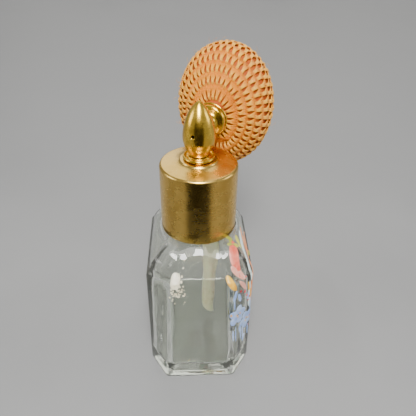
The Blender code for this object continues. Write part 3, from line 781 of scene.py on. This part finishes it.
def make_collar():
    """Spun sleeve: rolled foot, round rim, and a top that slopes up to a low boss."""
    wall = 0.8 * MM
    foot_r = 0.4 * MM
    edge = 1.3 * MM
    hole = 2.9 * MM
    boss = 7.3 * MM
    r = COLLAR_R
    outer = arc(r - foot_r, COLLAR_BOTTOM + foot_r, foot_r, -90.0, 0.0, 4)
    outer += [(r, COLLAR_BOTTOM + (RIM_Z - COLLAR_BOTTOM) * k / 8.0) for k in range(1, 8)]
    outer += arc(r - edge, RIM_Z - edge, edge, 0.0, 84.0, 10)
    outer += [(r - 2.6 * MM, RIM_Z + 0.16 * MM), (10.4 * MM, RIM_Z + 0.58 * MM),
              (boss + 0.3 * MM, RIM_Z + 0.95 * MM), (boss, RIM_Z + 1.25 * MM),
              (boss - 0.25 * MM, BOSS_Z - 0.08 * MM), (boss - 0.6 * MM, BOSS_Z), (hole, BOSS_Z)]
    bore = [(r - wall, COLLAR_BOTTOM), (r - wall, RIM_Z - edge), (r - edge, RIM_Z - wall - 0.1 * MM),
            (boss, RIM_Z + 0.1 * MM), (boss - 1.0 * MM, BOSS_Z - wall), (hole, BOSS_Z - wall)]
    collar = turned("collar_sleeve", SATIN_GOLD, outer, bore, sides=160, sharp=40.0)
    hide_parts("collar_shell")
    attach(collar, "collar")


def make_base_ring():
    """Ring of one round bead with a smaller one above it."""
    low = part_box("head_base_ring")[0][2]
    outer = [(5.3 * MM, low)]
    outer += arc(5.5 * MM, low + 0.6 * MM, 0.6 * MM, -80.0, 80.0, 14)
    outer += arc(4.3 * MM, low + 0.95 * MM, 0.35 * MM, -20.0, 90.0, 8)
    bore = [(2.9 * MM, low), (2.9 * MM, outer[-1][1])]
    ring = turned("stepped_ring", BRIGHT_GOLD, outer, bore, sides=96, sharp=30.0)
    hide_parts("head_base_ring")
    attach(ring, "head")


def cut_round(piece, name, radius, start, end):
    """Cuts a round hole along the bulb's axis."""
    cutter = turned(name, BRASS, [(radius, start), (radius, end)], sides=48, about_bulb=True)
    modifier = piece.modifiers.new(name, "BOOLEAN")
    modifier.operation = "DIFFERENCE"
    modifier.solver = "EXACT"
    modifier.object = cutter
    bpy.context.view_layer.objects.active = piece
    bpy.ops.object.modifier_apply(modifier=name)
    bpy.data.objects.remove(cutter)


def make_acorn():
    """Acorn head with the spray hole at its front and the air pipe's hole at its back."""
    low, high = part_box("atomizer_head")
    radius = (high[1] - low[1]) / 2.0
    foot_r = 3.8 * MM
    belly_z = RIM_Z + 10.3 * MM
    profile = []
    for i in range(18):
        t = i / 17.0
        swell = math.sin(0.5 * math.pi * t) ** 1.12
        profile.append((foot_r + (radius - foot_r) * swell, low[2] + t * (belly_z - low[2])))
    for i in range(1, 26):
        angle = 0.5 * math.pi * i / 26.0
        profile.append((radius * math.cos(angle) ** 1.48, belly_z + (high[2] - belly_z) * math.sin(angle)))
    profile.append((0.05 * MM, high[2]))
    acorn = turned("acorn_head", HEAD_GOLD, profile, sides=128, sharp=35.0)
    beyond = 9.0 * MM
    cut_round(acorn, "spray_cutter", 0.72 * MM, -beyond, -3.9 * MM)
    cut_round(acorn, "air_cutter", 2.2 * MM, -4.2 * MM, beyond)
    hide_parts("atomizer_head")
    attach(acorn, "head")


def half_height(node):
    low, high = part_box(node)
    return (high[2] - low[2]) / 2.0


def make_cup():
    """Flared cup behind the head."""
    back, lip = extent("bulb_ferrule", AWAY)
    cup_r = half_height("bulb_ferrule")
    flare = [(2.9 * MM, back), (3.0 * MM, back + 1.3 * MM), (3.5 * MM, back + 2.3 * MM),
             (4.7 * MM, back + 3.0 * MM), (cup_r - 0.35 * MM, back + 3.6 * MM), (cup_r, lip)]
    bore = [(2.2 * MM, back), (2.2 * MM, back + 2.6 * MM), (4.1 * MM, back + 3.1 * MM),
            (cup_r - 1.0 * MM, lip - 1.0 * MM), (cup_r - 0.6 * MM, lip)]
    cup = turned("bulb_cup", BRIGHT_GOLD, smooth_curve(flare, 5), bore, sides=96, about_bulb=True)
    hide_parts("bulb_ferrule")
    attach(cup, "head")


def make_cup_bead():
    """Rolled bead round the cup's edge."""
    first, last = extent("ferrule_bead", AWAY)
    middle = (first + last) / 2.0
    radius = (last - first) / 2.0
    centre_r = half_height("ferrule_bead") - radius
    rings = []
    for i in range(16):
        angle = 2.0 * math.pi * i / 16
        along = middle + radius * math.sin(angle)
        rings.append(round_ring(centre_r + radius * math.cos(angle), along, 96, True))
    bead = lofted("cup_bead", rings, BRIGHT_GOLD, loop=True, sharp=0.0)
    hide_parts("ferrule_bead")
    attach(bead, "head")


make_collar()
make_base_ring()
make_acorn()
make_cup()
make_cup_bead()


# -------- crocheted bulb

cover_first, cover_last = extent("bulb_cover", AWAY)
cover_sides = extent("bulb_cover", SIDE)
HALF_HEIGHT = half_height("bulb_cover")
HALF_WIDTH = (cover_sides[1] - cover_sides[0]) / 2.0
POLE_S = cover_first + 1.0 * MM
WIDEST_S = POLE_S + 0.408 * (cover_last - POLE_S)
RIM_MARGIN = 1.9 * MM                         # room that the bulb needs to flatten beside the collar
RIM_SLOPE = 1.1                               # how fast the bulb comes back over the collar's rim


def bulb_point(angle, turn, depth):
    """Point under the bulb's skin: angle runs from mouth (0) to tail (pi), turn goes round it."""
    reach = (WIDEST_S - POLE_S if angle < 0.5 * math.pi else cover_last - WIDEST_S) - depth
    s = WIDEST_S - reach * math.cos(angle)
    share = math.sin(angle) ** 0.98
    across = (HALF_WIDTH - depth) * share * math.cos(turn)
    up = (HALF_HEIGHT - depth) * share * math.sin(turn)
    z = AIR_Z + up
    rim = RIM_Z + RIM_MARGIN + depth
    keep = COLLAR_R + RIM_MARGIN + depth - RIM_SLOPE * max(0.0, z - rim)
    if math.hypot(s, across) < keep and z < RIM_Z + 8.0 * MM:
        s = math.sqrt(max(s * s, keep * keep - across * across))
    return on_bulb_axis(s, across, up)


def bulb_ring(angle, depth, sides):
    return [bulb_point(angle, 2.0 * math.pi * j / sides, depth) for j in range(sides)]


def side_table(steps=400):
    """Angles from mouth to tail, and the distances along the bulb's side where they are."""
    angles = np.linspace(0.0, math.pi, steps)
    points = np.array([bulb_point(a, 0.25 * math.pi, 0.0) for a in angles])
    run = np.concatenate([[0.0], np.cumsum(np.linalg.norm(np.diff(points, axis=0), axis=1))])
    return angles, run


SIDE_ANGLES, SIDE_RUN = side_table()


def angle_at(distance):
    return float(np.interp(distance, SIDE_RUN, SIDE_ANGLES))


def tube_mesh(paths, radii, sides, ply):
    """Thread tubes with closed ends; the UV runs with the length, in turns of the ply."""
    verts = []
    faces = []
    uvs = []
    for path, path_radii in zip(paths, radii):
        points = np.array(path)
        tangents = np.gradient(points, axis=0)
        tangents /= np.linalg.norm(tangents, axis=1)[:, None]
        normal = np.cross(tangents[0], (0.3, 0.5, 0.8))
        start = len(verts)
        run = 0.0
        runs = []
        for i, (point, tangent) in enumerate(zip(points, tangents)):
            normal = normal - tangent * np.dot(normal, tangent)
            normal /= np.linalg.norm(normal)
            other = np.cross(tangent, normal)
            run += float(np.linalg.norm(point - points[i - 1])) if i else 0.0
            runs.append(run / ply)
            for j in range(sides):
                angle = 2.0 * math.pi * j / sides
                verts.append(point + path_radii[i] * (math.cos(angle) * normal + math.sin(angle) * other))
        for i in range(len(points) - 1):
            for j in range(sides):
                k = (j + 1) % sides
                a = start + i * sides
                faces.append((a + j, a + k, a + sides + k, a + sides + j))
                uvs += [(runs[i], j / sides), (runs[i], (j + 1) / sides),
                        (runs[i + 1], (j + 1) / sides), (runs[i + 1], j / sides)]
        last = start + (len(points) - 1) * sides
        faces.append(tuple(start + j for j in range(sides - 1, -1, -1)))
        faces.append(tuple(last + j for j in range(sides)))
        uvs += [(0.0, 0.0)] * sides + [(runs[-1], 0.0)] * sides
    return verts, faces, uvs


ROW_HEIGHT = 4.1 * MM
STITCHES = (26, 38, 46)                       # in the first, the second and every further round from an end
STRAND_R = 0.27 * MM
STRAND_POINTS = 11
STRAND_DEPTH = 0.52 * MM                      # of a strand's middle under the bulb's skin
HAIR_R = 0.035 * MM
# offsets of a stitch's strands at its foot and at its top, in stitch widths
STRANDS = ((-0.15, -0.43), (-0.075, -0.215), (0.0, 0.0), (0.075, 0.215), (0.15, 0.43))


def round_edges():
    """Distances along the bulb's side where each round of stitches begins."""
    first_gap = float(np.interp(math.asin(12.5 * MM / HALF_HEIGHT), SIDE_ANGLES, SIDE_RUN))
    end = SIDE_RUN[-1] - 3.0 * MM
    rounds = int(round((end - first_gap) / ROW_HEIGHT))
    height = (end - first_gap) / rounds
    return [first_gap - 5.4 * MM] + [first_gap + height * k for k in range(rounds + 1)]


def stitch_paths(rng):
    """Five strands for every stitch: bundled at its foot, fanned out to the next round."""
    edges = round_edges()
    paths = []
    radii = []
    shift = 0.0
    rounds = len(edges) - 1
    for row in range(rounds):
        low = edges[row]
        height = edges[row + 1] - low
        from_end = min(row, rounds - 1 - row)
        count = STITCHES[min(from_end, 2)]
        step = 2.0 * math.pi / count
        shift += 0.37 * step
        for column in range(count):
            centre = shift + (column + rng.uniform(-0.05, 0.05)) * step
            lean = rng.uniform(-0.08, 0.08) * step
            fat = rng.uniform(0.92, 1.1)
            for foot, top in STRANDS:
                path = []
                path_r = []
                wander = rng.uniform(-0.03, 0.03)
                for k in range(STRAND_POINTS):
                    t = -0.06 + 1.2 * k / (STRAND_POINTS - 1)
                    fanned = foot + (top - foot) * smooth_step(0.25, 0.90, t)
                    spread = fanned + wander * math.sin(math.pi * t)
                    along = min(max(low + height * t, 0.5 * MM), SIDE_RUN[-1] - 0.5 * MM)
                    tuck = max(0.0, 0.16 - t) / 0.16 + smooth_step(0.72, 1.1, t)
                    bulge = 0.22 * math.exp(-((t - 0.25) / 0.2) ** 2)
                    depth = STRAND_DEPTH + (0.62 * tuck - bulge) * MM
                    path.append(bulb_point(angle_at(along), centre + spread * step + lean * t, depth))
                    thick = 0.84 + 0.16 * math.sin(math.pi * min(1.0, max(0.0, t)))
                    path_r.append(fat * STRAND_R * thick)
                paths.append(path)
                radii.append(path_r)
    return paths, radii


def fuzz_paths(rng, count):
    """Loose silk hairs that stand off the crochet's sides and top."""
    paths = []
    radii = []
    for _ in range(count):
        angle = rng.uniform(0.15, 0.92) * math.pi
        turn = rng.uniform(-0.22, 1.22) * math.pi
        reach = rng.uniform(1.0, 2.6) * MM
        drift = rng.uniform(-0.12, 0.12)
        slip = rng.uniform(-0.12, 0.12)
        path = []
        for k in range(6):
            t = k / 5.0
            depth = 0.4 * MM - reach * math.sin(0.5 * math.pi * t)
            path.append(bulb_point(angle + slip * t, turn + drift * t * t, depth))
        paths.append(path)
        radii.append([HAIR_R] * len(path))
    return paths, radii


def dress_bulb(piece, *nodes, slot="crochet_silk"):
    """Rides on the head with its own copy of its mesh, and hides the CAD nodes that it replaces."""
    if nodes:
        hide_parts(*nodes)
    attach(piece, "head")
    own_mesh(piece)


def make_crochet():
    """Stitches and loose hairs over a ground that closes the gaps between them, coloured a darker orange as
    painted shade between the stitches.
    """
    rng = random.Random(7)
    paths, radii = stitch_paths(rng)
    verts, faces, uvs = tube_mesh(paths, radii, 6, 1.1 * MM)
    stitches = new_object("crochet_stitches", verts, faces, YARN, uvs, sharp=0.0)
    dress_bulb(stitches, "bulb_cover")
    paths, radii = fuzz_paths(rng, 90)
    verts, faces, uvs = tube_mesh(paths, radii, 4, 1.0 * MM)
    fuzz = new_object("crochet_fuzz", verts, faces, YARN, uvs, sharp=0.0)
    dress_bulb(fuzz)
    sides = 72
    sleeve = ((4.7 * MM, cover_first), (5.2 * MM, cover_first + 1.2 * MM))
    rings = [round_ring(r, s, sides, True) for r, s in sleeve]
    rings += [bulb_ring(math.pi * i / 48.0, 1.2 * MM, sides) for i in range(4, 48)]
    # ground of painted shade in the gaps between the stitches
    gap_shade_ground = lofted("crochet_gap_shade_ground", rings, GAP_SHADE_GROUND, sharp=0.0)
    dress_bulb(gap_shade_ground)


def rubber_skin(depth, mouth_r, tail_r):
    """Rings of one face of the rubber, from the bulb's mouth to its far end."""
    sides = 48
    first, last = extent("rubber_bladder", AWAY)
    rings = [round_ring(mouth_r, s, sides, True) for s in (first, cover_first + 1.0 * MM)]
    rings += [bulb_ring(math.pi * i / 30.0, depth, sides) for i in range(3, 28)]
    rings.append(round_ring(tail_r, last, sides, True))
    return rings


def make_bladder():
    """Black rubber bulb under the crochet."""
    outside = rubber_skin(2.2 * MM, 3.8 * MM, 3.7 * MM)
    inside = rubber_skin(3.3 * MM, 3.2 * MM, 3.1 * MM)
    bladder = lofted("rubber_bulb", outside + inside[::-1], RUBBER, loop=True)
    dress_bulb(bladder, "rubber_bladder", slot="black_rubber")


def make_binding():
    """Thread wound round the rubber's mouth inside the cup."""
    first, last = extent("mouth_binding", AWAY)
    thread_r = 0.27 * MM
    coil_r = 4.38 * MM
    turns = 2.0
    steps = 72
    path = []
    for k in range(steps + 1):
        t = k / steps
        angle = 2.0 * math.pi * turns * t
        s = first + thread_r + (last - first - 2.0 * thread_r) * t
        path.append(on_bulb_axis(s, coil_r * math.cos(angle), coil_r * math.sin(angle)))
    verts, faces, uvs = tube_mesh([path], [[thread_r] * len(path)], 8, 1.0 * MM)
    binding = new_object("thread_binding", verts, faces, YARN, uvs, sharp=0.0)
    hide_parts("mouth_binding")
    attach(binding, "head")


make_crochet()
make_bladder()
make_binding()


# -------- carried-over CAD pieces

def dress_node(node, mat):
    """Gives a CAD piece its detailed material."""
    obj = frame["nodes"][node]
    for material_slot in obj.material_slots:
        material_slot.link = "OBJECT"
        material_slot.material = mat


CARRIED = {
    "collar_liner": LINER, "neck_gasket": RUBBER, "head_stem": BRASS, "stem_washer": FIBRE,
    "stem_nut": BRASS, "siphon_nipple": BRASS, "dip_tube": TUBE, "liquid_jet": BRASS,
    "spray_nozzle": HOLE_SHADE_BRASS, "air_pipe": BRASS, "bulb_nipple": BRASS,
    "outlet_ball_seat": BRASS, "outlet_check_ball": BRASS,
    "inlet_valve_body": BRIGHT_GOLD, "inlet_valve_disc": RUBBER, "inlet_valve_cap": BRIGHT_GOLD,
}
for carried_node, carried_material in CARRIED.items():
    dress_node(carried_node, carried_material)


# -------- stage, light and camera

def make_floor():
    n = Nodes("pale_floor")
    cloud = n.noise(9.0, 4.0, 0.5)
    color = n.ramp(cloud, (0.3, (0.25, 0.255, 0.26)), (0.7, (0.285, 0.29, 0.295)))
    mat = n.finish(color, n.level(cloud, 0.3, 0.7, 0.45, 0.6), n.bump(n.noise(900.0, 3.0), 0.05, 0.2 * MM))
    size = 3.0
    drop = -0.02 * MM
    verts = [(-size, -size, drop), (size, -size, drop), (size, size, drop), (-size, size, drop)]
    floor = new_object("floor", verts, [(0, 1, 2, 3)], mat, sharp=0.0)


FLAG_REACH = 5.0 * COLLAR_R
# name, azimuths from the front (degrees), height (mm) and shade of grey of the studio flags
FLAGS = (
    ("flag_front", -35.0, 31.0, 150.0, 0.012),
    ("flag_left", -120.0, -33.0, 75.0, 0.54),
    ("flag_right", 29.0, 120.0, 75.0, 0.60),
)


def make_flags():
    """Studio flags seen only in reflections: they draw the dark stripe and flanks on the gold."""
    for name, start, end, height, grey in FLAGS:
        n = Nodes(name)
        cloth = n.noise(60.0, 2.0)
        color = n.ramp(cloth, (0.3, (0.9 * grey, 0.85 * grey, 0.8 * grey)), (0.7, (grey, grey, grey)))
        mat = n.finish(color, n.level(cloth, 0.3, 0.7, 0.85, 0.95))
        verts = []
        spans = 12
        for i in range(spans + 1):
            azimuth = math.radians(start + (end - start) * i / spans)
            for z in (0.0, height * MM):
                verts.append((FLAG_REACH * math.sin(azimuth), -FLAG_REACH * math.cos(azimuth), z))
        faces = [(2 * i, 2 * i + 2, 2 * i + 3, 2 * i + 1) for i in range(spans)]
        flag = new_object(name, verts, faces, mat, sharp=0.0)
        flag.visible_camera = False
        flag.visible_diffuse = False
        flag.visible_transmission = False
        flag.visible_shadow = False


def area_light(name, azimuth, elevation, distance, size, radiance):
    """Soft panel aimed at the bottle; azimuth runs from +Y towards +X, angles in degrees."""
    az = math.radians(azimuth)
    el = math.radians(elevation)
    towards = Vector((math.sin(az) * math.cos(el), math.cos(az) * math.cos(el), math.sin(el)))
    data = bpy.data.lights.new(name, "AREA")
    data.shape = "RECTANGLE"
    data.size, data.size_y = size
    data.energy = radiance * math.pi * size[0] * size[1]
    data.color = (1.0, 0.98, 0.95)
    light = bpy.data.objects.new(name, data)
    light.location = UP * 0.08 + towards * distance
    light.rotation_euler = towards.to_track_quat("Z", "Y").to_euler()
    light.visible_camera = False
    bpy.context.collection.objects.link(light)


# name, azimuth, elevation (degrees), distance, size (m) and radiance of the soft panels
PANELS = (
    ("key", 181.0, 50.0, 0.52, (0.11, 0.25), 44.0),
    ("overhead", 181.0, 60.0, 1.2, (0.55, 0.55), 6.5),
    ("back", 5.0, 40.0, 1.5, (1.7, 1.7), 1.5),
    ("left", -95.0, 17.0, 1.5, (0.62, 0.62), 4.5),
    ("right", 92.0, 18.0, 1.5, (0.58, 0.58), 3.6),
)


def make_light():
    """Even pale room with soft panels in front, overhead, behind and at both sides."""
    world = bpy.data.worlds.new("pale_room")
    world.use_nodes = True
    background = world.node_tree.nodes["Background"]
    background.inputs["Color"].default_value = (1.0, 0.99, 0.97, 1.0)
    background.inputs["Strength"].default_value = 0.34
    bpy.context.scene.world = world
    for name, azimuth, elevation, distance, size, radiance in PANELS:
        area_light(name, azimuth, elevation, distance, size, radiance)


def make_camera():
    """Camera above and in front of the narrow end, 34 degrees down, turned a little to the right."""
    r = COLLAR_R
    pitch = math.radians(34.2)
    yaw = 0.051
    roll = 0.017
    forward = Vector((math.sin(yaw) * math.cos(pitch), math.cos(yaw) * math.cos(pitch), -math.sin(pitch)))
    right = Vector((math.cos(yaw), -math.sin(yaw), 0.0))
    upward = right.cross(forward)
    rolled_right = right * math.cos(roll) + upward * math.sin(roll)
    rolled_up = upward * math.cos(roll) - right * math.sin(roll)
    data = bpy.data.cameras.new("camera")
    data.lens = 38.9
    data.clip_start = 0.01
    camera = bpy.data.objects.new("camera", data)
    rotation = Matrix((rolled_right, rolled_up, -forward)).transposed()
    camera.matrix_world = Matrix.Translation((-0.26 * r, -9.96 * r, 11.01 * r)) @ rotation.to_4x4()
    bpy.context.collection.objects.link(camera)
    bpy.context.scene.camera = camera


make_floor()
make_flags()
make_light()
make_camera()
